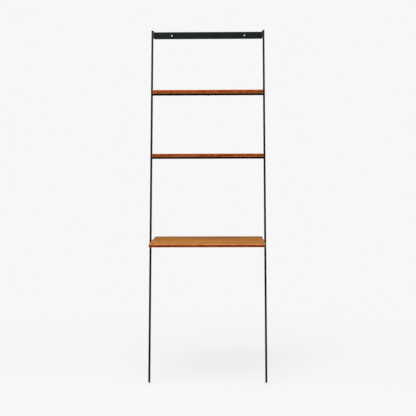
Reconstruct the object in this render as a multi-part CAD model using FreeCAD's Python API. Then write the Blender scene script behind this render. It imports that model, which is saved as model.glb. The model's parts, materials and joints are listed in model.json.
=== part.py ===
import FreeCAD, Part
import math
import os

# Ladder desk: two leaning steel poles carry a desk and two shelves, and a top rail screws to the wall.
# Millimetres. Origin on the floor at mid width and mid depth, X right, Y towards the wall, Z up.

# Whole desk
total_height = 1841.0
total_depth = 480.0
wall_gap = 2.0

# Poles: solid rectangular bar, its depth measured square to the leaning axis
pole_spacing = 600.0
pole_width = 10.0
pole_depth = 12.7
pole_bevel = 0.8
top_standoff = 54.0
foot_standoff = 422.0

# Boards: edge-glued timber, with a nose rounded along the top front edge
desk_thickness = 18.0
shelf_thickness = 17.0
board_end_gap = 1.0
desk_nose = 5.5
shelf_nose = 2.0
board_ease = 1.2
board_corner = 2.0
desk_top = 720.0
lower_depth = 234.5
upper_drop = 328.0
upper_depth = 164.0
shelf_pitch = 339.0

# Crossbars: square bar between the poles, straight under each board
bar_size = 10.0
bar_bevel = 0.6
bar_screw_inset = 55.0

# Arms and rear straps: flat bar under the boards, the arms let into the crossbars
shelf_arm_width = 20.0
shelf_arm_thickness = 3.0
desk_arm_width = 25.0
desk_arm_thickness = 5.0
desk_arm_setback = 60.0
desk_arm_screw_setback = 18.0
arm_corner = 4.0
arm_margin = 6.0
strap_width = 20.0
strap_thickness = 3.0
strap_setback = 8.0

# Wall rail: folded sheet with a flange at each end, screwed between the pole tops
rail_height = 38.0
rail_drop = 3.0
rail_sheet = 3.0
rail_bend = 2.0
rail_corner = 4.0
rail_flange_setback = 1.5
rail_screw_pitch = 18.0
wall_hole_spacing = 396.0
wall_hole_diameter = 7.0

# Frame screws: countersunk, through the poles, with a hexagon socket
frame_screw_diameter = 5.0
frame_head_diameter = 9.2
frame_socket = 3.0
frame_socket_depth = 1.8
thread_engagement = 12.0

# Board screws: countersunk from below, and one pan head at the middle of each rear strap
board_screw_diameter = 4.0
board_head_diameter = 8.0
board_socket = 2.5
board_socket_depth = 1.4
board_screw_bite = 12.0
pan_head_diameter = 9.0
pan_head_height = 2.4
pan_head_edge = 0.9

# All screws
head_land = 0.3
head_sink = 0.2
facets = 10

# Threaded inserts in the board ends
insert_diameter = 8.0
insert_length = 14.0

# Levelling glides: nylon pad on a stud that screws up into the pole end
pad_diameter = 10.0
pad_height = 6.0
pad_edge = 0.8
glide_gap = 0.5
stud_diameter = 5.0
stud_grip = 20.0
stud_seat = 4.0
stud_tip = 0.6

# Clearances
thread_gap = 0.05
hole_gap = 0.25
seat_gap = 0.1
hole_runout = 2.0
overrun = 1.0

# Places that follow from the sizes above
full_turn = 360.0
hex_sides = 6
sides = (-1, 1)
side_names = {-1: "left", 1: "right"}
wall_y = total_depth / 2
board_back = wall_y - wall_gap
inner_half = (pole_spacing - pole_width) / 2
outer_half = (pole_spacing + pole_width) / 2
board_half = inner_half - board_end_gap
lean_slope = (foot_standoff - top_standoff) / total_height
pole_run = pole_depth / math.cos(math.atan(lean_slope))
pole_end = pad_height + glide_gap
stud_hole = stud_grip + hole_runout
end_hole = thread_engagement + hole_runout
arm_inset = end_hole + arm_margin
strap_back = board_back - strap_setback
strap_front = strap_back - strap_width
rail_top = total_height - rail_drop
rail_bottom = rail_top - rail_height
rail_mid = (rail_top + rail_bottom) / 2
rail_screw_heights = (rail_mid - rail_screw_pitch / 2, rail_mid + rail_screw_pitch / 2)

Vector = FreeCAD.Vector
UP = Vector(0, 0, 1)
ACROSS = Vector(1, 0, 0)
BACK = Vector(0, 1, 0)


def pole_front(z):
    return wall_y - top_standoff - lean_slope * (total_height - z)


def pole_centre(z):
    return pole_front(z) + pole_run / 2


foot_y = pole_centre(pole_end + stud_hole / 2)


# Shape helpers

def outline(corners, rounded=True):
    """Closed wire through corners given as (point, size), each corner rounded or bevelled by its size."""
    trims = []
    for index, (point, size) in enumerate(corners):
        before = (corners[index - 1][0] - point).normalize()
        after = (corners[(index + 1) % len(corners)][0] - point).normalize()
        half_angle = before.getAngle(after) / 2
        reach = size / math.tan(half_angle)
        inward = (before + after).normalize()
        middle = point + inward * (size / math.sin(half_angle) - size)
        trims.append((point + before * reach, middle, point + after * reach, size))
    edges = []
    for index, (start, middle, end, size) in enumerate(trims):
        if size and rounded:
            edges.append(Part.Arc(start, middle, end).toShape())
        if size and not rounded:
            edges.append(Part.LineSegment(start, end).toShape())
        following = trims[(index + 1) % len(trims)][0]
        edges.append(Part.LineSegment(end, following).toShape())
    return Part.Wire(edges)


def prism(corners, sweep, rounded=True):
    return Part.Face(outline(corners, rounded)).extrude(sweep)


def block(x0, x1, y0, y1, z0, z1):
    return Part.makeBox(x1 - x0, y1 - y0, z1 - z0, Vector(x0, y0, z0))


def turned(profile, place, direction):
    """Solid of revolution: the profile gives (along, radius), and its axis runs from place in direction."""
    points = [Vector(along, radius, 0) for along, radius in profile]
    face = Part.Face(Part.makePolygon(points + points[:1]))
    solid = face.revolve(Vector(0, 0, 0), ACROSS, full_turn)
    solid.Placement = FreeCAD.Placement(place, FreeCAD.Rotation(ACROSS, direction))
    return solid


def ring(across, along, sides_count):
    """Regular polygon about the X axis, with its corners half of across from the axis."""
    radius = across / 2
    angles = [2 * math.pi * step / sides_count for step in range(sides_count + 1)]
    return Part.makePolygon([Vector(along, radius * math.cos(a), radius * math.sin(a)) for a in angles])


def faceted(stations, place, direction):
    """Many-sided solid for the small fasteners, through rings given as (along, diameter)."""
    solid = Part.makeLoft([ring(diameter, along, facets) for along, diameter in stations], True, True)
    solid.Placement = FreeCAD.Placement(place, FreeCAD.Rotation(ACROSS, direction))
    return solid


def round_clear(diameter, gap):
    """Corner diameter of a many-sided hole whose flats clear a round of this diameter by the gap."""
    return (diameter + 2 * gap) / math.cos(math.pi / facets)


def drill(diameter, gap, start, direction, length):
    across = round_clear(diameter, gap)
    return faceted([(0, across), (length, across)], start, direction)


def hex_socket(across_flats, depth, place, direction):
    across = across_flats / math.cos(math.pi / hex_sides)
    cutter = Part.Face(ring(across, -overrun, hex_sides)).extrude(ACROSS * (overrun + depth))
    cutter.Placement = FreeCAD.Placement(place, FreeCAD.Rotation(ACROSS, direction))
    return cutter


def countersunk_screw(diameter, head_diameter, length, socket, socket_depth, place, direction):
    cone = (head_diameter - diameter) / 2
    stations = [
        (0, head_diameter),
        (head_land, head_diameter),
        (head_land + cone, diameter),
        (length, diameter),
    ]
    body = faceted(stations, place, direction)
    return body.cut(hex_socket(socket, socket_depth, place, direction))


def countersunk_bore(diameter, head_diameter, length, place, direction):
    """Clearance hole with its countersink, for cutting."""
    hole = round_clear(diameter, hole_gap)
    head = round_clear(head_diameter, seat_gap)
    stations = [
        (-overrun, head),
        (head_land, head),
        (head_land + (head - hole) / 2, hole),
        (length + overrun, hole),
    ]
    return faceted(stations, place, direction)


def pan_screw(diameter, length, place, direction):
    stations = [
        (0, pan_head_diameter - 2 * pan_head_edge),
        (pan_head_edge, pan_head_diameter),
        (pan_head_height, pan_head_diameter),
    ]
    head = faceted(stations, place, direction)
    shank = faceted([(0, diameter), (length, diameter)], place + direction * pan_head_height, direction)
    return head.fuse(shank).cut(hex_socket(board_socket, board_socket_depth, place, direction))


def export(name, shape):
    shape.exportStep("parts/%s.step" % name)


# Frame screws: the hole in the pole, and the screw that goes through it

def frame_head_place(side, z):
    return Vector(side * (outer_half - head_sink), pole_centre(z), z)


def pole_bore(side, z):
    length = pole_width
    place = frame_head_place(side, z)
    return countersunk_bore(frame_screw_diameter, frame_head_diameter, length, place, ACROSS * -side)


def frame_screw(side, z, grip):
    length = pole_width - head_sink + grip
    place = frame_head_place(side, z)
    direction = ACROSS * -side
    return countersunk_screw(frame_screw_diameter, frame_head_diameter, length,
                             frame_socket, frame_socket_depth, place, direction)


# Board screws: their holes in the steel below the board, and the screws

def board_bore(length, place):
    return countersunk_bore(board_screw_diameter, board_head_diameter, length, place, UP)


def board_screw(grip, place):
    length = grip - head_sink + board_screw_bite
    return countersunk_screw(board_screw_diameter, board_head_diameter, length,
                             board_socket, board_socket_depth, place, UP)


def tapped_end(side, half_length, y, z, diameter, depth):
    start = Vector(side * (half_length + overrun), y, z)
    return drill(diameter, thread_gap, start, ACROSS * -side, overrun + depth)


# One level: a board with its crossbar, arms, rear strap, inserts and screws

def make_level(name, top, thickness, nose, depth, arm_width, arm_thickness, arm_front, front_screw_setback):
    under = top - thickness
    board_mid = top - thickness / 2
    bar_mid = under - bar_size / 2
    bar_y = pole_centre(bar_mid)
    bar_front = bar_y - bar_size / 2
    bar_back = bar_y + bar_size / 2
    board_front = board_back - depth
    arm_start = bar_front if arm_front is None else arm_front
    arm_outer = inner_half - arm_inset
    arm_x = arm_outer - arm_width / 2

    arm_screw_ys = [(bar_back + strap_front) / 2]
    if front_screw_setback is not None:
        arm_screw_ys.append(arm_start + front_screw_setback)

    # Places of the countersunk board screws, with what each passes through
    bar_screw_x = arm_outer - arm_width - bar_screw_inset
    bar_places = [Vector(side * bar_screw_x, bar_y, under - bar_size + head_sink) for side in sides]
    arm_places = {side: [Vector(side * arm_x, y, under - arm_thickness + head_sink) for y in arm_screw_ys]
                  for side in sides}
    strap_place = Vector(0, (strap_front + strap_back) / 2, under - strap_thickness)

    # Board, with pilot holes below and an insert hole in each end
    nose_profile = [
        (Vector(-board_half, board_front, under), board_ease),
        (Vector(-board_half, board_front, top), nose),
        (Vector(-board_half, board_back, top), board_ease),
        (Vector(-board_half, board_back, under), board_ease),
    ]
    board_plan = [
        (Vector(-board_half, board_front, under), board_corner),
        (Vector(board_half, board_front, under), board_corner),
        (Vector(board_half, board_back, under), board_corner),
        (Vector(-board_half, board_back, under), board_corner),
    ]
    board = prism(nose_profile, ACROSS * (2 * board_half)).common(prism(board_plan, UP * thickness))
    pilot_spots = bar_places + arm_places[-1] + arm_places[1] + [strap_place]
    for spot in pilot_spots:
        start = Vector(spot.x, spot.y, under - overrun)
        length = overrun + board_screw_bite + hole_runout
        board = board.cut(drill(board_screw_diameter, thread_gap, start, UP, length))
    for side in sides:
        depth_in = insert_length + hole_runout
        board = board.cut(tapped_end(side, board_half, pole_centre(board_mid), board_mid,
                                     insert_diameter, depth_in))
    export(name + "_board", board)

    # Crossbar, notched for the arms, tapped in its ends and drilled for two board screws
    bar_profile = [
        (Vector(-inner_half, bar_front, under - bar_size), bar_bevel),
        (Vector(-inner_half, bar_front, under), bar_bevel),
        (Vector(-inner_half, bar_back, under), bar_bevel),
        (Vector(-inner_half, bar_back, under - bar_size), bar_bevel),
    ]
    bar = prism(bar_profile, ACROSS * (2 * inner_half), rounded=False)
    for side in sides:
        notch_half = arm_width / 2 + seat_gap
        bar = bar.cut(block(side * arm_x - notch_half, side * arm_x + notch_half,
                            bar_front - overrun, bar_back + overrun,
                            under - arm_thickness, under + overrun))
        bar = bar.cut(tapped_end(side, inner_half, bar_y, bar_mid, frame_screw_diameter, end_hole))
    for place in bar_places:
        bar = bar.cut(board_bore(bar_size, place))
    export(name + "_crossbar", bar)

    # Arms, with their front corners rounded where they run out in front of the crossbar
    front_corner = 0 if arm_front is None else arm_corner
    for side in sides:
        low_x = side * arm_x - arm_width / 2
        high_x = side * arm_x + arm_width / 2
        plan = [
            (Vector(low_x, arm_start, under - arm_thickness), front_corner),
            (Vector(high_x, arm_start, under - arm_thickness), front_corner),
            (Vector(high_x, strap_front, under - arm_thickness), 0),
            (Vector(low_x, strap_front, under - arm_thickness), 0),
        ]
        arm = prism(plan, UP * arm_thickness)
        for place in arm_places[side]:
            arm = arm.cut(board_bore(arm_thickness, place))
        export("%s_%s_arm" % (name, side_names[side]), arm)

    # Rear strap between the arms' rear ends
    strap_plan = [
        (Vector(-arm_outer, strap_front, under - strap_thickness), 0),
        (Vector(arm_outer, strap_front, under - strap_thickness), 0),
        (Vector(arm_outer, strap_back, under - strap_thickness), arm_corner),
        (Vector(-arm_outer, strap_back, under - strap_thickness), arm_corner),
    ]
    strap = prism(strap_plan, UP * strap_thickness)
    strap = strap.cut(drill(board_screw_diameter, hole_gap, strap_place - UP * overrun, UP,
                            strap_thickness + 2 * overrun))
    export(name + "_rear_strap", strap)

    # Board screws
    screws = [board_screw(bar_size, place) for place in bar_places]
    screws += [board_screw(arm_thickness, place) for place in arm_places[-1] + arm_places[1]]
    screws.append(pan_screw(board_screw_diameter, strap_thickness + board_screw_bite,
                            strap_place - UP * pan_head_height, UP))
    export(name + "_board_screws", Part.makeCompound(screws))

    # Inserts in the board ends, and the frame screws into them and into the crossbar ends
    inserts = []
    frame_screws = []
    for side in sides:
        end = Vector(side * board_half, pole_centre(board_mid), board_mid)
        sleeve = faceted([(0, insert_diameter), (insert_length, insert_diameter)], end, ACROSS * -side)
        bore = tapped_end(side, board_half, end.y, end.z, frame_screw_diameter, insert_length + overrun)
        inserts.append(sleeve.cut(bore))
        for z in (bar_mid, board_mid):
            frame_screws.append(frame_screw(side, z, thread_engagement))
    export(name + "_board_inserts", Part.makeCompound(inserts))
    export(name + "_frame_screws", Part.makeCompound(frame_screws))
    return (bar_mid, board_mid)


# Poles, drilled for the screws of every level and of the rail, and tapped up the foot for the glide

def make_pole(side, screw_heights):
    foot = pole_front(pole_end)
    inner = side * inner_half
    outer = side * outer_half
    section = [
        (Vector(inner, foot, pole_end), pole_bevel),
        (Vector(outer, foot, pole_end), pole_bevel),
        (Vector(outer, foot + pole_run, pole_end), pole_bevel),
        (Vector(inner, foot + pole_run, pole_end), pole_bevel),
    ]
    rise = Vector(0, pole_front(total_height) - foot, total_height - pole_end)
    pole = prism(section, rise, rounded=False)
    for z in screw_heights:
        pole = pole.cut(pole_bore(side, z))
    foot_hole = Vector(side * pole_spacing / 2, foot_y, pole_end - overrun)
    return pole.cut(drill(stud_diameter, thread_gap, foot_hole, UP, overrun + stud_hole))


# Wall rail: a U in plan, its flanges trimmed to the lean of the poles

def make_wall_rail():
    reach = pole_front(rail_bottom) - overrun
    inner = inner_half - rail_sheet
    web_face = wall_y - rail_sheet
    bend_out = rail_bend + rail_sheet
    plan = [
        (Vector(-inner_half, reach, rail_bottom), 0),
        (Vector(-inner_half, wall_y, rail_bottom), bend_out),
        (Vector(inner_half, wall_y, rail_bottom), bend_out),
        (Vector(inner_half, reach, rail_bottom), 0),
        (Vector(inner, reach, rail_bottom), 0),
        (Vector(inner, web_face, rail_bottom), rail_bend),
        (Vector(-inner, web_face, rail_bottom), rail_bend),
        (Vector(-inner, reach, rail_bottom), 0),
    ]
    folded = prism(plan, UP * rail_height)
    side_view = [
        (Vector(-outer_half, pole_front(rail_bottom) + rail_flange_setback, rail_bottom), rail_corner),
        (Vector(-outer_half, pole_front(rail_top) + rail_flange_setback, rail_top), rail_corner),
        (Vector(-outer_half, wall_y + overrun, rail_top), 0),
        (Vector(-outer_half, wall_y + overrun, rail_bottom), 0),
    ]
    rail = folded.common(prism(side_view, ACROSS * (2 * outer_half)))
    for side in sides:
        start = Vector(side * wall_hole_spacing / 2, web_face - overrun, rail_mid)
        rail = rail.cut(Part.makeCylinder(wall_hole_diameter / 2, rail_sheet + 2 * overrun, start, BACK))
        for z in rail_screw_heights:
            rail = rail.cut(tapped_end(side, inner_half, pole_centre(z), z, frame_screw_diameter,
                                       rail_sheet + overrun))
    return rail


# Levelling glide: the pad and the stud that is moulded into it

def make_glide_pad(side):
    rim = pad_diameter / 2
    profile = [
        (0, 0),
        (0, rim - pad_edge),
        (pad_edge, rim),
        (pad_height, rim),
        (pad_height, 0),
    ]
    pad = turned(profile, Vector(side * pole_spacing / 2, foot_y, 0), UP)
    socket = Vector(side * pole_spacing / 2, foot_y, pad_height - stud_seat)
    return pad.cut(drill(stud_diameter, thread_gap, socket, UP, stud_seat + overrun))


def make_glide_stud(side):
    radius = stud_diameter / 2
    length = stud_seat + glide_gap + stud_grip
    profile = [
        (0, 0),
        (0, radius),
        (length - stud_tip, radius),
        (length, radius - stud_tip),
        (length, 0),
    ]
    return turned(profile, Vector(side * pole_spacing / 2, foot_y, pad_height - stud_seat), UP)


# Assembly
os.makedirs("parts", exist_ok=True)

upper_top = total_height - upper_drop
lower_top = upper_top - shelf_pitch
desk_depth = total_depth - wall_gap
desk_arm_front = board_back - desk_depth + desk_arm_setback
pole_screw_heights = list(rail_screw_heights)
pole_screw_heights += make_level("desk", desk_top, desk_thickness, desk_nose, desk_depth, desk_arm_width,
                                 desk_arm_thickness, desk_arm_front, desk_arm_screw_setback)
pole_screw_heights += make_level("lower_shelf", lower_top, shelf_thickness, shelf_nose, lower_depth,
                                 shelf_arm_width, shelf_arm_thickness, None, None)
pole_screw_heights += make_level("upper_shelf", upper_top, shelf_thickness, shelf_nose, upper_depth,
                                 shelf_arm_width, shelf_arm_thickness, None, None)

rail_screws = []
for side in sides:
    export(side_names[side] + "_pole", make_pole(side, pole_screw_heights))
    export(side_names[side] + "_glide_pad", make_glide_pad(side))
    export(side_names[side] + "_glide_stud", make_glide_stud(side))
    for z in rail_screw_heights:
        rail_screws.append(frame_screw(side, z, rail_sheet))
export("wall_rail", make_wall_rail())
export("rail_screws", Part.makeCompound(rail_screws))
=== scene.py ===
import json
import math

import bpy
from mathutils import Matrix, Vector


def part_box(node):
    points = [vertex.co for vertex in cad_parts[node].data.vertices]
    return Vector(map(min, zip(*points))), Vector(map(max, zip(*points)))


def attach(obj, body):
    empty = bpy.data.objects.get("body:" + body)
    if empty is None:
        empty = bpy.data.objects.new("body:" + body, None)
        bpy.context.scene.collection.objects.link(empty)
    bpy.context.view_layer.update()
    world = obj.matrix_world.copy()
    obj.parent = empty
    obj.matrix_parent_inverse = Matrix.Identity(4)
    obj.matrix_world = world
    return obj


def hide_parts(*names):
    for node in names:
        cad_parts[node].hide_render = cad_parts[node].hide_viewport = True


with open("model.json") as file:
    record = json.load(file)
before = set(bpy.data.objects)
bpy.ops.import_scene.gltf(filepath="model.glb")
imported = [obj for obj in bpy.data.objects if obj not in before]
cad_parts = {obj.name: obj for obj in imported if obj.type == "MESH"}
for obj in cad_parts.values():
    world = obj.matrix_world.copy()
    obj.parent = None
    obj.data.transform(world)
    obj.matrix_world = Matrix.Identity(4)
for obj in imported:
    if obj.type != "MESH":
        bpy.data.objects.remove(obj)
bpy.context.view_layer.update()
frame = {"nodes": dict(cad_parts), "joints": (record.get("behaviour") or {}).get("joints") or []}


# Poles: two slim solid bars of drawn steel that lean back on the wall, with ends cut level.
# Their long edges are broken, the outer sides are countersunk for the frame screws,
# and the whole bar is powder coated.

nodes = frame["nodes"]
mm = 0.001


def linear(hex_colour):
    """Linear RGBA of an sRGB hex colour."""
    channels = [int(hex_colour[start:start + 2], 16) / 255 for start in (1, 3, 5)]
    return (*(c / 12.92 if c <= 0.04045 else ((c + 0.055) / 1.055) ** 2.4 for c in channels), 1.0)


def add_node(tree, kind, inputs=(), **settings):
    """Adds a node: inputs gives a value, or the socket to link, for each of its sockets."""
    node = tree.nodes.new(kind)
    for name, value in settings.items():
        setattr(node, name, value)
    for socket, value in dict(inputs).items():
        if isinstance(value, bpy.types.NodeSocket):
            tree.links.new(value, node.inputs[socket])
        else:
            node.inputs[socket].default_value = value
    return node


# The sockets of a colour mix share their names, so they go by number: the share, the colours, the result
share, first, second, mixed = 0, 6, 7, 2


def new_material(name):
    """An empty node material, with its node tree."""
    material = bpy.data.materials.new(name)
    material.use_nodes = True
    material.node_tree.nodes.clear()
    return material, material.node_tree


def coat_node(name, material):
    """Gives a CAD node its finish."""
    for slot in nodes[name].material_slots:
        slot.material = material


def powder_coat(name, thin, thick, least_roughness, specular):
    """Black polyester powder coat, sprayed on and baked, in two tones for its thin and thick places."""
    # Its orange peel spreads every highlight, and faint clouds in tone and gloss show where the powder
    # melted out thicker
    peel_size = 1.2 * mm
    peel_height = 0.03 * mm
    cloud_size = 70 * mm
    roughness_spread = 0.1
    material, tree = new_material(name)
    place = add_node(tree, "ShaderNodeTexCoord").outputs["Object"]
    clouds = add_node(tree, "ShaderNodeTexNoise", {"Vector": place, "Scale": 1 / cloud_size, "Detail": 3})
    peel = add_node(tree, "ShaderNodeTexNoise", {"Vector": place, "Scale": 1 / peel_size, "Detail": 1})
    colour = add_node(tree, "ShaderNodeMix",
                      {share: clouds.outputs["Fac"], first: linear(thin), second: linear(thick)},
                      data_type="RGBA")
    gloss = add_node(tree, "ShaderNodeMapRange",
                     {"Value": clouds.outputs["Fac"], "To Min": least_roughness,
                      "To Max": least_roughness + roughness_spread})
    bump = add_node(tree, "ShaderNodeBump",
                    {"Height": peel.outputs["Fac"], "Strength": 0.2, "Distance": peel_height})
    coat = add_node(tree, "ShaderNodeBsdfPrincipled",
                    {"Base Color": colour.outputs[mixed], "Roughness": gloss.outputs[0],
                     "Normal": bump.outputs[0], "IOR": 1.5, "Specular IOR Level": specular})
    add_node(tree, "ShaderNodeOutputMaterial", {"Surface": coat.outputs[0]})
    return material


# Drawn bars keep a fine tooth under the powder, so their coat is a deep satin black
satin_coat = powder_coat("satin_black_powder_coat", thin="#060708", thick="#0b0d0e",
                         least_roughness=0.38, specular=0.11)

for pole in ("left_pole", "right_pole"):
    coat_node(pole, satin_coat)


# Levelling glides: a moulded nylon pad on a threaded stud, screwed up into the end of each pole.
# The pad is turned by hand to level the desk, and the stud comes out of the pole with it.

# Points closer than this are one point
merge_distance = 0.01 * mm

# A face is level where its normal points up or down by more than this
level_normal = 0.9


def select_faces(piece, wanted):
    """Puts the piece in edit mode with only the wanted faces selected, told by centre and normal."""
    bpy.ops.object.mode_set(mode="EDIT")
    bpy.ops.mesh.select_mode(type="FACE")
    bpy.ops.mesh.select_all(action="DESELECT")
    bpy.ops.object.mode_set(mode="OBJECT")
    for face in piece.data.polygons:
        face.select = wanted(face.center, face.normal)
    bpy.ops.object.mode_set(mode="EDIT")


def select_edges(piece, wanted):
    """Puts the piece in edit mode with only the wanted edges selected, told by their two ends."""
    bpy.ops.object.mode_set(mode="EDIT")
    bpy.ops.mesh.select_mode(type="EDGE")
    bpy.ops.mesh.select_all(action="DESELECT")
    bpy.ops.object.mode_set(mode="OBJECT")
    points = piece.data.vertices
    for edge in piece.data.edges:
        edge.select = wanted(*(points[number].co for number in edge.vertices))
    bpy.ops.object.mode_set(mode="EDIT")


def dress(piece, name, material, body, node):
    """Names a finished piece, gives it its material and hangs it on the frame in place of a CAD node."""
    smooth_angle = math.radians(35)
    bpy.ops.object.mode_set(mode="OBJECT")
    bpy.ops.object.transform_apply(location=True, rotation=True, scale=True)
    bpy.ops.object.shade_smooth_by_angle(angle=smooth_angle)
    piece.name = name
    piece.data.materials.clear()
    piece.data.materials.append(material)
    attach(piece, body)
    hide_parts(node)


def bore(piece, start, direction, diameter, length, sides=32):
    """Cuts a round hole into a piece, or with 6 sides a hexagon with its corners on the diameter."""
    bpy.ops.object.select_all(action="DESELECT")
    bpy.ops.mesh.primitive_cylinder_add(vertices=sides, radius=diameter / 2, depth=length,
                                        location=Vector(start) + length / 2 * Vector(direction),
                                        rotation=Vector(direction).to_track_quat("Z", "Y").to_euler())
    cutter = bpy.context.object
    bpy.ops.object.select_all(action="DESELECT")
    piece.select_set(True)
    bpy.context.view_layer.objects.active = piece
    bpy.ops.object.modifier_add(type="BOOLEAN")
    cut = piece.modifiers[-1]
    cut.object = cutter
    bpy.ops.object.modifier_apply(modifier=cut.name)
    bpy.data.objects.remove(cutter)


def threaded_rod(diameter, pitch, low, high):
    """A rolled thread about an upright axis, cut square at both ends. Returns the object."""
    # The profile of one turn goes out along a flank, up the crest, in along a flank and up the root
    thread_depth = 0.6 * pitch
    flank_rise = 0.4 * pitch
    flat_rise = 0.1 * pitch
    lead_in = 1.75 * pitch
    spare_turns = 3
    turn_steps = 16
    cut_tolerance = 0.0001 * mm
    root = diameter / 2 - thread_depth
    bpy.ops.object.select_all(action="DESELECT")
    bpy.ops.mesh.primitive_plane_add(size=pitch, location=(0, 0, 0))
    rod = bpy.context.object
    bpy.ops.object.mode_set(mode="EDIT")
    bpy.ops.mesh.merge(type="CENTER")
    bpy.ops.mesh.select_all(action="SELECT")
    bpy.ops.transform.translate(value=(root, 0, low.z - lead_in))
    profile = ((thread_depth, flank_rise), (0, flat_rise), (-thread_depth, flank_rise), (0, flat_rise))
    for outward, rise in profile:
        bpy.ops.mesh.extrude_vertices_move(TRANSFORM_OT_translate={"value": (outward, 0, rise)})
    bpy.ops.object.mode_set(mode="OBJECT")
    bpy.ops.object.modifier_add(type="SCREW")
    turns = rod.modifiers[-1]
    turns.screw_offset = pitch
    turns.iterations = math.ceil((high.z - low.z) / pitch) + spare_turns
    turns.steps = turn_steps
    turns.render_steps = turn_steps
    turns.use_merge_vertices = True
    turns.merge_threshold = merge_distance
    bpy.ops.object.modifier_apply(modifier=turns.name)
    bpy.ops.object.mode_set(mode="EDIT")
    bpy.ops.mesh.select_all(action="SELECT")
    bpy.ops.mesh.remove_doubles(threshold=merge_distance)
    for end, outward in ((low, -1), (high, 1)):
        bpy.ops.mesh.select_all(action="SELECT")
        bpy.ops.mesh.bisect(plane_co=(0, 0, end.z), plane_no=(0, 0, outward), use_fill=True,
                            clear_outer=True, threshold=cut_tolerance)
    bpy.ops.mesh.select_all(action="SELECT")
    bpy.ops.transform.translate(value=((low.x + high.x) / 2, (low.y + high.y) / 2, 0))
    bpy.ops.mesh.normals_make_consistent(inside=False)
    return rod


# Black nylon, injection moulded: a dull skin with a fine spark-eroded grain from the mould,
# drawn coarser than the real one so that it shows
nylon, tree = new_material("moulded_black_nylon")
grain_size = 0.8 * mm
grain_depth = 0.05 * mm
place = add_node(tree, "ShaderNodeTexCoord").outputs["Object"]
grain = add_node(tree, "ShaderNodeTexNoise", {"Vector": place, "Scale": 1 / grain_size, "Detail": 2})
colour = add_node(tree, "ShaderNodeMix",
                  {share: grain.outputs["Fac"], first: linear("#151515"), second: linear("#202021")},
                  data_type="RGBA")
gloss = add_node(tree, "ShaderNodeMapRange", {"Value": grain.outputs["Fac"], "To Min": 0.5, "To Max": 0.7})
bump = add_node(tree, "ShaderNodeBump",
                {"Height": grain.outputs["Fac"], "Strength": 0.4, "Distance": grain_depth})
skin = add_node(tree, "ShaderNodeBsdfPrincipled",
                {"Base Color": colour.outputs[mixed], "Roughness": gloss.outputs[0],
                 "Normal": bump.outputs[0], "IOR": 1.53, "Specular IOR Level": 0.4})
add_node(tree, "ShaderNodeOutputMaterial", {"Surface": skin.outputs[0]})

# Zinc plate on rolled steel: pale blue-grey metal, clouded where the plating crystals are larger
zinc, tree = new_material("bright_zinc_plate")
crystal_size = 2 * mm
place = add_node(tree, "ShaderNodeTexCoord").outputs["Object"]
crystals = add_node(tree, "ShaderNodeTexNoise", {"Vector": place, "Scale": 1 / crystal_size, "Detail": 2})
colour = add_node(tree, "ShaderNodeMix",
                  {share: crystals.outputs["Fac"], first: linear("#a9afb3"), second: linear("#c9cdcf")},
                  data_type="RGBA")
gloss = add_node(tree, "ShaderNodeMapRange",
                 {"Value": crystals.outputs["Fac"], "To Min": 0.25, "To Max": 0.42})
plate = add_node(tree, "ShaderNodeBsdfPrincipled",
                 {"Base Color": colour.outputs[mixed], "Roughness": gloss.outputs[0], "Metallic": 1.0})
add_node(tree, "ShaderNodeOutputMaterial", {"Surface": plate.outputs[0]})

pad_sides = 48
pad_edge = 1.0 * mm
pad_edge_segments = 4
stud_pitch = 0.8 * mm
for side in ("left", "right"):
    low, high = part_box(side + "_glide_pad")
    centre = (low + high) / 2
    bpy.ops.object.select_all(action="DESELECT")
    bpy.ops.mesh.primitive_cylinder_add(vertices=pad_sides, radius=(high.x - low.x) / 2,
                                        depth=high.z - low.z, location=centre)
    pad = bpy.context.object
    bpy.ops.object.transform_apply(location=True)
    select_faces(pad, lambda middle, normal: abs(normal.z) > level_normal)
    bpy.ops.mesh.bevel(offset=pad_edge, segments=pad_edge_segments, affect="EDGES")
    bpy.ops.object.mode_set(mode="OBJECT")
    low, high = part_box(side + "_glide_stud")
    bore(pad, (centre.x, centre.y, low.z), (0, 0, 1), high.x - low.x, high.z - low.z)
    dress(pad, side + "_moulded_pad", nylon, side + "_foot", side + "_glide_pad")

    stud = threaded_rod(high.x - low.x, stud_pitch, low, high)
    dress(stud, side + "_threaded_stud", zinc, side + "_foot", side + "_glide_stud")


# Wall rail: black sheet steel folded to a channel, with two wall holes in its face
# and a flange at each end, trimmed to the lean of the pole that is screwed to it.

# On smooth sheet the powder melts out flat, so the rail mirrors more: its face stays dark,
# and the inner sides of its flanges, seen edgewise, catch the pale backdrop
smooth_coat = powder_coat("smooth_black_powder_coat", thin="#0d1213", thick="#13191a",
                          least_roughness=0.2, specular=0.5)
coat_node("wall_rail", smooth_coat)


# Rail and frame screws: countersunk machine screws with a hex socket, black oxide on steel.
# Each goes through a pole from outside, into the rail, a crossbar end or a board's insert.

def solid_boxes(node):
    """Lowest and highest corner of each separate solid in a CAD node."""
    # Their places in the list of eight corners that an object gives for its box
    lowest, highest = 0, 6
    bpy.ops.object.select_all(action="DESELECT")
    copy = bpy.data.objects.new(node + "_copy", nodes[node].data.copy())
    bpy.context.scene.collection.objects.link(copy)
    copy.select_set(True)
    bpy.context.view_layer.objects.active = copy
    bpy.ops.object.mode_set(mode="EDIT")
    bpy.ops.mesh.select_all(action="SELECT")
    bpy.ops.mesh.remove_doubles(threshold=merge_distance)
    bpy.ops.mesh.separate(type="LOOSE")
    bpy.ops.object.mode_set(mode="OBJECT")
    boxes = []
    for solid in bpy.context.selected_objects:
        corners = [Vector(corner) for corner in solid.bound_box]
        boxes.append((corners[lowest], corners[highest]))
    bpy.ops.object.delete()
    return boxes


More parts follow.
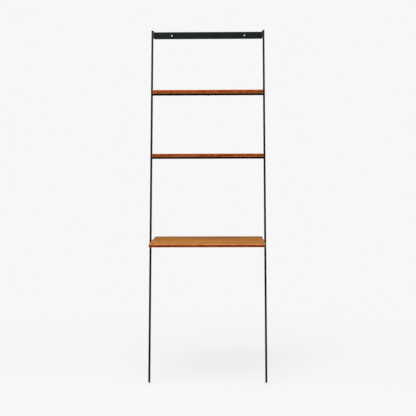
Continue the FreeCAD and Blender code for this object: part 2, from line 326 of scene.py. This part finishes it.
def socket_screw(head, shank, socket, head_rise, length):
    """A hex socket screw that points up, with its head's face at the origin. Returns the object.

    head_rise is the height of a pan head, or 0 for a countersunk one.
    """
    head_sides = 32
    land = 0.4 * mm
    point = 0.6 * mm
    point_share = 0.75
    face_edge = 0.1 * mm
    pan_round = head_rise / 2
    pan_round_segments = 4
    socket_depth = 2 * mm
    across_corners = 2 * socket / math.sqrt(3)
    cone = 0 if head_rise else (head - shank) / 2
    rim = head_rise or land
    bpy.ops.object.select_all(action="DESELECT")
    bpy.ops.mesh.primitive_cylinder_add(vertices=head_sides, radius=head / 2, depth=rim,
                                        location=(0, 0, rim / 2))
    screw = bpy.context.object
    bpy.ops.object.transform_apply(location=True)
    select_faces(screw, lambda middle, normal: normal.z > level_normal)
    if head_rise:
        bpy.ops.mesh.inset(thickness=(head - shank) / 2)
    else:
        bpy.ops.mesh.extrude_region_move(TRANSFORM_OT_translate={"value": (0, 0, cone)})
        bpy.ops.transform.resize(value=(shank / head, shank / head, 1))
    bpy.ops.mesh.extrude_region_move(TRANSFORM_OT_translate={"value": (0, 0, length - rim - cone - point)})
    bpy.ops.mesh.extrude_region_move(TRANSFORM_OT_translate={"value": (0, 0, point)})
    bpy.ops.transform.resize(value=(point_share, point_share, 1))
    if head_rise:
        select_edges(screw, lambda a, b: max(a.z, b.z) < face_edge)
        bpy.ops.mesh.bevel(offset=pan_round, segments=pan_round_segments, affect="EDGES")
    bpy.ops.object.mode_set(mode="OBJECT")
    bore(screw, (0, 0, -socket_depth), (0, 0, 1), across_corners, 2 * socket_depth, sides=6)
    return screw


def screw_group(name, node, sizes_of, direction_of):
    """A round screw in place of each solid of a CAD node, joined as one piece. Like screws are copies."""
    length_decimals = 5
    patterns = {}
    copies = []
    for low, high in solid_boxes(node):
        centre = (low + high) / 2
        direction = direction_of(centre)
        half_length = (high - low).dot(Vector(map(abs, direction))) / 2
        sizes = (*sizes_of(centre), round(2 * half_length, length_decimals))
        if sizes not in patterns:
            patterns[sizes] = socket_screw(*sizes)
        turn = Vector((0, 0, 1)).rotation_difference(direction).to_matrix().to_4x4()
        copy = bpy.data.objects.new(name, patterns[sizes].data.copy())
        copy.data.transform(Matrix.Translation(centre - half_length * direction) @ turn)
        bpy.context.scene.collection.objects.link(copy)
        copies.append(copy)
    bpy.ops.object.select_all(action="DESELECT")
    for pattern in patterns.values():
        bpy.data.objects.remove(pattern)
    for copy in copies:
        copy.select_set(True)
    bpy.context.view_layer.objects.active = copies[0]
    bpy.ops.object.join()
    dress(copies[0], name, black_oxide, "ladder_frame", node)


def toward_middle(centre):
    """Direction of a screw or sleeve that goes in from the side where its centre lies."""
    return Vector((-math.copysign(1, centre.x), 0, 0))


def frame_screw_sizes(centre):
    """Head, shank, socket and head rise of a frame screw, which are the same everywhere."""
    head = 9.2 * mm
    shank = 5 * mm
    socket = 3 * mm
    return head, shank, socket, 0


# Black oxide on heat-treated steel, oiled: a thin dark film, so that worn spots show brighter metal
black_oxide, tree = new_material("black_oxide_steel")
wear_size = 1.5 * mm
place = add_node(tree, "ShaderNodeTexCoord").outputs["Object"]
wear_and_sheen = add_node(tree, "ShaderNodeTexNoise", {"Vector": place, "Scale": 1 / wear_size, "Detail": 3})
colour = add_node(tree, "ShaderNodeMix",
                  {share: wear_and_sheen.outputs["Fac"], first: linear("#1d1d1f"), second: linear("#3a3a3c")},
                  data_type="RGBA")
gloss = add_node(tree, "ShaderNodeMapRange", {"Value": wear_and_sheen.outputs["Fac"], "To Min": 0.35, "To Max": 0.55})
film = add_node(tree, "ShaderNodeBsdfPrincipled",
                {"Base Color": colour.outputs[mixed], "Roughness": gloss.outputs[0], "Metallic": 0.8})
add_node(tree, "ShaderNodeOutputMaterial", {"Surface": film.outputs[0]})

for level in ("rail", "desk_frame", "lower_shelf_frame", "upper_shelf_frame"):
    screw_group(level + "_socket_screws", level + "_screws", frame_screw_sizes, toward_middle)


# Supports: under each board a square steel crossbar between the poles, two flat arms let into it
# that run back to the wall side, and a flat strap across their rear ends.
# They are cut, notched and welded, then powder coated as the poles are.

levels = ("desk", "lower_shelf", "upper_shelf")
for level in levels:
    for member in ("crossbar", "left_arm", "right_arm", "rear_strap"):
        coat_node(level + "_" + member, satin_coat)


# Boards: the desk top, 18 mm thick, and two shelves, 17 mm thick, glued up from staves of acacia.
# They are planed, rounded over along the top front edge, eased elsewhere, sanded and oiled.

# The waves of a wave texture at scale 1 are this far apart, in metres
wave_step = math.pi / 10


def acacia(name, corner, seed):
    """Oiled acacia for the board whose front left bottom corner is given."""
    # The grain runs along the staves, and each stave has its own tone and its own growth rings.
    # Open pores show as fine dark dashes, and the glue lines as hairlines. Edges and ends drink more oil,
    # so they are darker, redder and patchy. The nose is paler where it is sanded and handled, and it also
    # carries a painted highlight: its colour is lifted, most in green and blue, as a sheen on the round
    # would be.
    early_wood = linear("#b67b41")
    late_wood = linear("#875023")
    dark_ribbon = linear("#643417")
    stave_width = 66 * mm
    glue_line = 0.5 * mm
    ring_width = 6 * mm
    ribbon_width = 18 * mm
    fibre_width = 1.8 * mm
    pore_width = 0.9 * mm
    pore_depth = 0.15 * mm
    patch_width = 14 * mm
    ring_stretch = 0.06
    pore_stretch = 0.09
    patch_stretch = 0.45

    material, tree = new_material(name)
    place = add_node(tree, "ShaderNodeTexCoord").outputs["Object"]
    local = add_node(tree, "ShaderNodeMapping",
                     {"Vector": place, "Location": [-c for c in corner]}).outputs[0]
    axes = add_node(tree, "ShaderNodeSeparateXYZ", {0: local}).outputs
    count = add_node(tree, "ShaderNodeMath", {0: axes["Y"], 1: stave_width}, operation="DIVIDE")
    stave = add_node(tree, "ShaderNodeMath", {0: count.outputs[0]}, operation="FLOOR")
    label = add_node(tree, "ShaderNodeCombineXYZ", {"X": stave.outputs[0], "Y": float(seed)})
    chance = add_node(tree, "ShaderNodeTexWhiteNoise", {"Vector": label.outputs[0]})
    to_joint = add_node(tree, "ShaderNodeMath", {0: axes["Y"], 1: stave_width}, operation="PINGPONG")
    joint = add_node(tree, "ShaderNodeMapRange",
                     {"Value": to_joint.outputs[0], "From Max": glue_line, "To Min": 0.72, "To Max": 1.0})

    # Each stave is sawn from another place in the log, so its rings turn about a heart of its own below it
    heart_spread = (900 * mm, -90 * mm, 80 * mm)
    least_depth = (0, 0, 20 * mm)
    across = add_node(tree, "ShaderNodeMath", {0: axes["Y"], 1: stave_width}, operation="MODULO")
    sawn = add_node(tree, "ShaderNodeCombineXYZ", {"X": axes["X"], "Y": across.outputs[0], "Z": axes["Z"]})
    heart = add_node(tree, "ShaderNodeVectorMath",
                     {0: chance.outputs["Color"], 1: heart_spread, 2: least_depth},
                     operation="MULTIPLY_ADD")
    moved = add_node(tree, "ShaderNodeVectorMath",
                     {0: sawn.outputs[0], 1: heart.outputs[0]}, operation="ADD")
    drawn = add_node(tree, "ShaderNodeVectorMath",
                     {0: moved.outputs[0], 1: (ring_stretch, 1, 1)}, operation="MULTIPLY")
    rings = add_node(tree, "ShaderNodeTexWave",
                     {"Vector": drawn.outputs[0], "Scale": wave_step / ring_width, "Distortion": 9.0,
                      "Detail": 3.0, "Detail Scale": 0.3, "Detail Roughness": 0.55},
                     wave_type="RINGS", rings_direction="X", wave_profile="SAW")
    ribbons = add_node(tree, "ShaderNodeTexNoise",
                       {"Vector": drawn.outputs[0], "Scale": 1 / ribbon_width,
                        "Detail": 3, "Roughness": 0.55})
    fibres = add_node(tree, "ShaderNodeTexNoise",
                      {"Vector": drawn.outputs[0], "Scale": 1 / fibre_width, "Detail": 3, "Roughness": 0.6})
    dashes = add_node(tree, "ShaderNodeVectorMath",
                      {0: moved.outputs[0], 1: (pore_stretch, 1, 1)}, operation="MULTIPLY")
    pores = add_node(tree, "ShaderNodeTexNoise",
                     {"Vector": dashes.outputs[0], "Scale": 1 / pore_width, "Detail": 0})
    open_pore = add_node(tree, "ShaderNodeMapRange",
                         {"Value": pores.outputs["Fac"], "From Min": 0.6, "From Max": 0.72,
                          "To Min": 1.0, "To Max": 0.6})

    # Early wood to late wood, then the darker ribbons, then fibre, pores, glue lines and the stave's tone
    wood = add_node(tree, "ShaderNodeMix",
                    {share: rings.outputs["Fac"], first: early_wood, second: late_wood}, data_type="RGBA")
    dark = add_node(tree, "ShaderNodeMapRange",
                    {"Value": ribbons.outputs["Fac"], "From Min": 0.45, "From Max": 0.75, "To Max": 0.6})
    wood = add_node(tree, "ShaderNodeMix",
                    {share: dark.outputs[0], first: wood.outputs[mixed], second: dark_ribbon},
                    data_type="RGBA")
    pale = add_node(tree, "ShaderNodeMapRange",
                    {"Value": fibres.outputs["Fac"], "From Min": 0.3, "From Max": 0.7,
                     "To Min": 0.8, "To Max": 1.24})
    tone = add_node(tree, "ShaderNodeMapRange",
                    {"Value": chance.outputs["Value"], "To Min": 0.9, "To Max": 1.12})
    shade = pale
    for part in (tone, open_pore, joint):
        shade = add_node(tree, "ShaderNodeMath",
                         {0: shade.outputs[0], 1: part.outputs[0]}, operation="MULTIPLY")
    wood = add_node(tree, "ShaderNodeVectorMath",
                    {0: wood.outputs[mixed], "Scale": shade.outputs[0]}, operation="SCALE")

    # Edges and ends are told from the faces by how upright the surface stands, and the nose lies between
    plain_tint = (1, 1, 1, 1)
    # The nose tint is partly paler wear and partly a painted highlight, a sheen painted into the colour of
    # the rounded nose
    nose_wear_and_highlight_tint = (1.47, 1.88, 2.8, 1)
    dry_edge_tint = (1.33, 0.84, 0.655, 1)
    soaked_edge_tint = (0.85, 0.36, 0.27, 1)
    normal = add_node(tree, "ShaderNodeNewGeometry").outputs["Normal"]
    upward = add_node(tree, "ShaderNodeSeparateXYZ", {0: normal}).outputs["Z"]
    flatness = add_node(tree, "ShaderNodeMath", {0: upward}, operation="ABSOLUTE").outputs[0]
    # Mask for the nose's paler wear and painted highlight, between the flat faces and the upright edges
    nose_wear_and_highlight_mask = add_node(tree, "ShaderNodeMapRange", {"Value": flatness, "From Min": 0.92, "From Max": 0.75})
    wear_and_sheen = add_node(tree, "ShaderNodeMix",
                    {share: nose_wear_and_highlight_mask.outputs[0], first: plain_tint, second: nose_wear_and_highlight_tint}, data_type="RGBA")
    edge = add_node(tree, "ShaderNodeMapRange", {"Value": flatness, "From Min": 0.32, "From Max": 0.12})
    spread = add_node(tree, "ShaderNodeVectorMath",
                      {0: local, 1: (patch_stretch, 1, 1)}, operation="MULTIPLY")
    patches = add_node(tree, "ShaderNodeTexNoise",
                       {"Vector": spread.outputs[0], "Scale": 1 / patch_width,
                        "Detail": 4, "Roughness": 0.6})
    soak = add_node(tree, "ShaderNodeMapRange",
                    {"Value": patches.outputs["Fac"], "From Min": 0.41, "From Max": 0.59,
                     "To Min": 0.35, "To Max": 1.1})
    oiled_edge = add_node(tree, "ShaderNodeMix",
                          {share: soak.outputs[0], first: dry_edge_tint, second: soaked_edge_tint},
                          data_type="RGBA")
    tint = add_node(tree, "ShaderNodeMix",
                    {share: edge.outputs[0], first: wear_and_sheen.outputs[mixed], second: oiled_edge.outputs[mixed]},
                    data_type="RGBA")
    wood = add_node(tree, "ShaderNodeVectorMath",
                    {0: wood.outputs[0], 1: tint.outputs[mixed]}, operation="MULTIPLY")

    gloss = add_node(tree, "ShaderNodeMapRange",
                     {"Value": fibres.outputs["Fac"], "To Min": 0.82, "To Max": 0.7})
    grooves = add_node(tree, "ShaderNodeMath",
                       {0: fibres.outputs["Fac"], 1: open_pore.outputs[0]}, operation="MULTIPLY")
    bump = add_node(tree, "ShaderNodeBump",
                    {"Height": grooves.outputs[0], "Strength": 0.3, "Distance": pore_depth})
    oiled = add_node(tree, "ShaderNodeBsdfPrincipled",
                     {"Base Color": wood.outputs[0], "Roughness": gloss.outputs[0],
                      "Normal": bump.outputs[0], "IOR": 1.5, "Specular IOR Level": 0.005})
    add_node(tree, "ShaderNodeOutputMaterial", {"Surface": oiled.outputs[0]})
    return material


nose_radii = {"desk": 5.5 * mm, "lower_shelf": 2 * mm, "upper_shelf": 2 * mm}
nose_segments = 8
eased_edge = 1.6 * mm
eased_segments = 3
sharp_angle = math.radians(50)
pilot_hole = 4.1 * mm

# An edge this close to a side of the board lies on it
near = 1 * mm

# The tones and rings of a board's staves follow from its seed, counted up from this one
first_seed = 3
for seed, level in enumerate(levels, first_seed):
    low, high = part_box(level + "_board")
    bpy.ops.object.select_all(action="DESELECT")
    bpy.ops.mesh.primitive_cube_add(size=1, location=(low + high) / 2, scale=high - low)
    board = bpy.context.object
    bpy.ops.object.transform_apply(location=True, rotation=True, scale=True)
    select_edges(board, lambda a, b: min(a.z, b.z) > high.z - near and max(a.y, b.y) < low.y + near)
    bpy.ops.mesh.bevel(offset=nose_radii[level], segments=nose_segments, affect="EDGES")
    bpy.ops.mesh.select_all(action="DESELECT")
    bpy.ops.mesh.edges_select_sharp(sharpness=sharp_angle)
    bpy.ops.mesh.bevel(offset=eased_edge, segments=eased_segments, affect="EDGES")
    bpy.ops.object.mode_set(mode="OBJECT")
    for sleeve_low, sleeve_high in solid_boxes(level + "_board_inserts"):
        centre = (sleeve_low + sleeve_high) / 2
        length = sleeve_high.x - sleeve_low.x
        inward = toward_middle(centre)
        # The hole starts outside the board and ends where the sleeve does
        bore(board, centre - length * inward, inward, sleeve_high.z - sleeve_low.z, length + length / 2)
    for screw_low, screw_high in solid_boxes(level + "_board_screws"):
        centre = (screw_low + screw_high) / 2
        bore(board, (centre.x, centre.y, screw_low.z), (0, 0, 1), pilot_hole, screw_high.z - screw_low.z)
    timber = acacia("oiled_acacia_" + level, low, seed)
    dress(board, level + "_glued_board", timber, "ladder_frame", level + "_board")


# Inserts: brass sleeves driven into the ends of each board, where the frame screws find their thread.
# Free-cutting brass, turned and knurled, flush with the end grain.

brass, tree = new_material("turned_brass")
knurl_size = 1 * mm
knurl_depth = 0.1 * mm
place = add_node(tree, "ShaderNodeTexCoord").outputs["Object"]
knurl = add_node(tree, "ShaderNodeTexWave",
                 {"Vector": place, "Scale": wave_step / knurl_size, "Distortion": 1.0},
                 bands_direction="DIAGONAL")
colour = add_node(tree, "ShaderNodeMix",
                  {share: knurl.outputs["Fac"], first: linear("#a5843f"), second: linear("#cda85c")},
                  data_type="RGBA")
bump = add_node(tree, "ShaderNodeBump",
                {"Height": knurl.outputs["Fac"], "Strength": 0.4, "Distance": knurl_depth})
sleeve = add_node(tree, "ShaderNodeBsdfPrincipled",
                  {"Base Color": colour.outputs[mixed], "Normal": bump.outputs[0],
                   "Metallic": 1.0, "Roughness": 0.3})
add_node(tree, "ShaderNodeOutputMaterial", {"Surface": sleeve.outputs[0]})

for level in levels:
    coat_node(level + "_board_inserts", brass)


# Board screws: driven up through crossbar and arms into the board, with countersunk heads,
# and one pan head in the middle of the rear strap. Black oxide, as the frame screws are.

def board_screw_sizes(centre):
    """Head, shank, socket and head rise of the board screw at a place."""
    shank = 4 * mm
    socket = 2.5 * mm
    pan_head = 9 * mm
    pan_rise = 2.4 * mm
    countersunk_head = 8 * mm
    on_strap = abs(centre.x) < pan_head
    return (pan_head, shank, socket, pan_rise) if on_strap else (countersunk_head, shank, socket, 0)


for level in levels:
    screw_group(level + "_wood_screws", level + "_board_screws", board_screw_sizes,
                lambda centre: Vector((0, 0, 1)))


# Studio: a plain pale floor and backdrop, seen as one even near-white, and soft light from above.
# The floor lies as low as the glides can reach, so that it stays clear of them at every setting.

paper = linear("#f7f7f7")
glide_reach = max(joint["range_m"][1] for joint in frame["joints"])
floor_size = 40
bpy.ops.object.select_all(action="DESELECT")
bpy.ops.mesh.primitive_plane_add(size=floor_size, location=(0, 0, -glide_reach))
floor = bpy.context.object
floor.name = "studio_floor"


def looking_rays(tree):
    """A socket that is 1 for camera, mirror and glass rays, and 0 for those that light the desk."""
    rays = add_node(tree, "ShaderNodeLightPath").outputs
    looking = rays["Is Camera Ray"]
    for kind in ("Is Glossy Ray", "Is Transmission Ray"):
        looking = add_node(tree, "ShaderNodeMath", {0: looking, 1: rays[kind]},
                           operation="MAXIMUM").outputs[0]
    return looking


# Matt paper: camera and mirror rays see its even colour, with only a share of the shading,
# and that share fades out away from the desk, so that no horizon shows. From below it is clear,
# so that the underside of the desk can be looked at.
matt_paper, tree = new_material("matt_studio_paper")
shadow_share = 0.18
shadow_reach = 2.5
looking = looking_rays(tree)
place = add_node(tree, "ShaderNodeTexCoord").outputs["Object"]
distance = add_node(tree, "ShaderNodeVectorMath", {0: place}, operation="LENGTH")
fading = add_node(tree, "ShaderNodeMapRange",
                  {"Value": distance.outputs["Value"], "From Max": shadow_reach,
                   "To Min": shadow_share, "To Max": 0}, interpolation_type="SMOOTHSTEP")
lit = add_node(tree, "ShaderNodeBsdfDiffuse", {"Color": linear("#e4e4e4")})
even = add_node(tree, "ShaderNodeEmission", {"Color": paper})
looked_at = add_node(tree, "ShaderNodeMixShader",
                     {0: fading.outputs[0], 1: even.outputs[0], 2: lit.outputs[0]})
paper_top = add_node(tree, "ShaderNodeMixShader", {0: looking, 1: lit.outputs[0], 2: looked_at.outputs[0]})
from_below = add_node(tree, "ShaderNodeNewGeometry").outputs["Backfacing"]
clear = add_node(tree, "ShaderNodeBsdfTransparent")
sheet = add_node(tree, "ShaderNodeMixShader", {0: from_below, 1: paper_top.outputs[0], 2: clear.outputs[0]})
add_node(tree, "ShaderNodeOutputMaterial", {"Surface": sheet.outputs[0]})
floor.data.materials.append(matt_paper)

# The camera sees the same even paper all round. Mirror rays see it behind the desk,
# and a dim room behind the camera, with a soft edge between the two.
world = bpy.data.worlds.new("studio")
bpy.context.scene.world = world
world.use_nodes = True
tree = world.node_tree
tree.nodes.clear()
fill_level = 0.5
room_level = 0.1
room_edge = 0.3
looking = looking_rays(tree)
seen_direct = add_node(tree, "ShaderNodeLightPath").outputs["Is Camera Ray"]
heading = add_node(tree, "ShaderNodeTexCoord").outputs["Generated"]
depth = add_node(tree, "ShaderNodeSeparateXYZ", {0: heading}).outputs["Y"]
mirrored = add_node(tree, "ShaderNodeMapRange",
                    {"Value": depth, "From Min": -room_edge, "From Max": room_edge,
                     "To Min": room_level, "To Max": 1.0})
glow = add_node(tree, "ShaderNodeMath", {0: mirrored.outputs[0], 1: seen_direct}, operation="MAXIMUM")
backdrop = add_node(tree, "ShaderNodeBackground", {"Color": paper, "Strength": glow.outputs[0]})
fill = add_node(tree, "ShaderNodeBackground", {"Color": (1, 1, 1, 1), "Strength": fill_level})
both = add_node(tree, "ShaderNodeMixShader", {0: looking, 1: fill.outputs[0], 2: backdrop.outputs[0]})
add_node(tree, "ShaderNodeOutputWorld", {"Surface": both.outputs[0]})


def soft_box(name, place, target, size, power):
    """A square lamp that faces a target, and that the camera doesn't see."""
    lamp = bpy.data.lights.new(name, "AREA")
    lamp.shape = "SQUARE"
    lamp.size = size
    lamp.energy = power
    holder = bpy.data.objects.new(name, lamp)
    holder.location = place
    holder.rotation_euler = (Vector(target) - Vector(place)).to_track_quat("-Z", "Y").to_euler()
    holder.visible_camera = False
    bpy.context.scene.collection.objects.link(holder)


soft_box("top_soft_box", place=(-0.4, -1.5, 4.2), target=(0, 0, 0.8), size=2.4, power=115)
soft_box("front_soft_box", place=(-1.6, -3.6, 5.0), target=(0, 0, 0.9), size=2.0, power=95)
soft_box("side_soft_box", place=(3.2, -2.4, 2.6), target=(0, 0, 1.0), size=2.0, power=25)


# Camera: a long lens five metres in front, a little to the right of the desk and at shelf height,
# turned slightly to the left and down.

camera_place = (0.0900, -5.0609, 1.1390)
camera_yaw = math.radians(1.009)
camera_pitch = math.radians(2.835)
camera_roll = math.radians(-0.174)
focal_pixels = 963.48
picture_pixels = 416
turn = (Matrix.Rotation(camera_yaw, 3, "Z") @ Matrix.Rotation(math.pi / 2 - camera_pitch, 3, "X")
        @ Matrix.Rotation(camera_roll, 3, "Z"))
view = bpy.data.cameras.new("camera")
view.sensor_width = 36
view.lens = view.sensor_width * focal_pixels / picture_pixels
camera = bpy.data.objects.new("camera", view)
camera.location = camera_place
camera.rotation_euler = turn.to_euler()
bpy.context.scene.collection.objects.link(camera)
bpy.context.scene.camera = camera
bpy.context.scene.view_settings.view_transform = "Standard"
